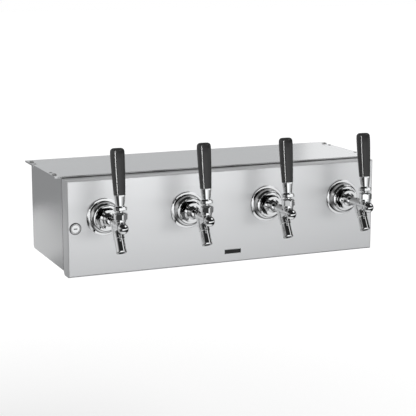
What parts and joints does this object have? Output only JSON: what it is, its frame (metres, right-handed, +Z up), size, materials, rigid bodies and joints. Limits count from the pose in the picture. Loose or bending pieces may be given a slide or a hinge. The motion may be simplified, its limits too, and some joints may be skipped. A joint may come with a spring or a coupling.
{
  "type": "underbar draft beer dispenser",
  "caption": "Stainless underbar case that hangs by its overhanging top plate, with a hinged insulated front door carrying lever faucets with black handles and a cam lock.",
  "frame": {"origin": "centre of the four hanging holes, on the upper face of the top plate", "axes": "+X to the right along the front panel, +Y to the back wall, +Z up"},
  "size_m": [0.719, 0.4006, 0.2715],
  "materials": {
    "panel_steel": "fine satin stainless steel sheet, pale and even",
    "case_steel": "satin stainless steel sheet, a little darker and smoother than the front panel",
    "plated_steel": "plain machined stainless and plated steel",
    "chrome": "bright polished chrome plate on brass",
    "grip_black": "glossy black moulded plastic",
    "black_rubber": "matt black moulded rubber",
    "foam": "pale yellow rigid foam"
  },
  "bodies": {
    "case": {"housing_shell": "case_steel", "top_plate": "case_steel", "corner_pads": "case_steel", "hanging_bushes": "plated_steel", "pad_rivets": "plated_steel", "housing_insulation": "foam", "door_gasket": "black_rubber", "chase_collar": "case_steel", "hinge_leaf_case": "case_steel", "hinge_pin": "plated_steel"},
    "door": {"front_panel": "panel_steel", "door_foam": "foam", "door_liner": "case_steel", "hinge_leaf_door": "case_steel", "bell_flanges": "chrome", "coupling_nuts": "chrome", "coupling_gaskets": "black_rubber", "shanks": "chrome", "shank_washers": "plated_steel", "shank_locknuts": "plated_steel", "beer_nuts": "chrome", "tailpieces": "chrome", "bonnets": "chrome", "ball_washers": "black_rubber", "lock_barrel": "chrome", "lock_nut": "plated_steel", "faucet_body_1": "chrome", "faucet_body_2": "chrome", "faucet_body_3": "chrome", "faucet_body_4": "chrome"},
    "lock": {"lock_plug": "chrome", "lock_cam": "plated_steel", "cam_screw": "plated_steel"},
    "lever_1": {"lever_stem_1": "chrome", "lever_collar_1": "chrome", "handle_ferrule_1": "chrome", "handle_grip_1": "grip_black"},
    "lever_2": {"lever_stem_2": "chrome", "lever_collar_2": "chrome", "handle_ferrule_2": "chrome", "handle_grip_2": "grip_black"},
    "lever_3": {"lever_stem_3": "chrome", "lever_collar_3": "chrome", "handle_ferrule_3": "chrome", "handle_grip_3": "grip_black"},
    "lever_4": {"lever_stem_4": "chrome", "lever_collar_4": "chrome", "handle_ferrule_4": "chrome", "handle_grip_4": "grip_black"},
    "valve_1": {"valve_shaft_1": "plated_steel", "valve_washer_1": "black_rubber"},
    "valve_2": {"valve_shaft_2": "plated_steel", "valve_washer_2": "black_rubber"},
    "valve_3": {"valve_shaft_3": "plated_steel", "valve_washer_3": "black_rubber"},
    "valve_4": {"valve_shaft_4": "plated_steel", "valve_washer_4": "black_rubber"}
  },
  "joints": [
    {"name": "door_swing", "type": "hinge", "parent": "case", "child": "door", "pos_m": [0.349, -0.114, -0.1], "axis": [0, 0, 1], "range_deg": [0, 105]},
    {"name": "lock_turn", "type": "hinge", "parent": "door", "child": "lock", "pos_m": [-0.3305, -0.15, -0.1008], "axis": [0, 1, 0], "range_deg": [0, 90]},
    {"name": "lever_1_pull", "type": "hinge", "parent": "door", "child": "lever_1", "pos_m": [-0.27, -0.251, -0.0603], "axis": [1, 0, 0], "range_deg": [0, 25]},
    {"name": "lever_2_pull", "type": "hinge", "parent": "door", "child": "lever_2", "pos_m": [-0.09, -0.251, -0.0603], "axis": [1, 0, 0], "range_deg": [0, 25]},
    {"name": "lever_3_pull", "type": "hinge", "parent": "door", "child": "lever_3", "pos_m": [0.09, -0.251, -0.0603], "axis": [1, 0, 0], "range_deg": [0, 25]},
    {"name": "lever_4_pull", "type": "hinge", "parent": "door", "child": "lever_4", "pos_m": [0.27, -0.251, -0.0603], "axis": [1, 0, 0], "range_deg": [0, 25]},
    {"name": "valve_1_slide", "type": "slide", "parent": "door", "child": "valve_1", "axis": [0, 1, 0], "range_m": [0, 0.0089]},
    {"name": "valve_2_slide", "type": "slide", "parent": "door", "child": "valve_2", "axis": [0, 1, 0], "range_m": [0, 0.0089]},
    {"name": "valve_3_slide", "type": "slide", "parent": "door", "child": "valve_3", "axis": [0, 1, 0], "range_m": [0, 0.0089]},
    {"name": "valve_4_slide", "type": "slide", "parent": "door", "child": "valve_4", "axis": [0, 1, 0], "range_m": [0, 0.0089]}
  ],
  "couplings": [
    {"joint": "valve_1_slide", "follows": "lever_1_pull", "m_per_rad": 0.02024},
    {"joint": "valve_2_slide", "follows": "lever_2_pull", "m_per_rad": 0.02024},
    {"joint": "valve_3_slide", "follows": "lever_3_pull", "m_per_rad": 0.02024},
    {"joint": "valve_4_slide", "follows": "lever_4_pull", "m_per_rad": 0.02024}
  ]
}
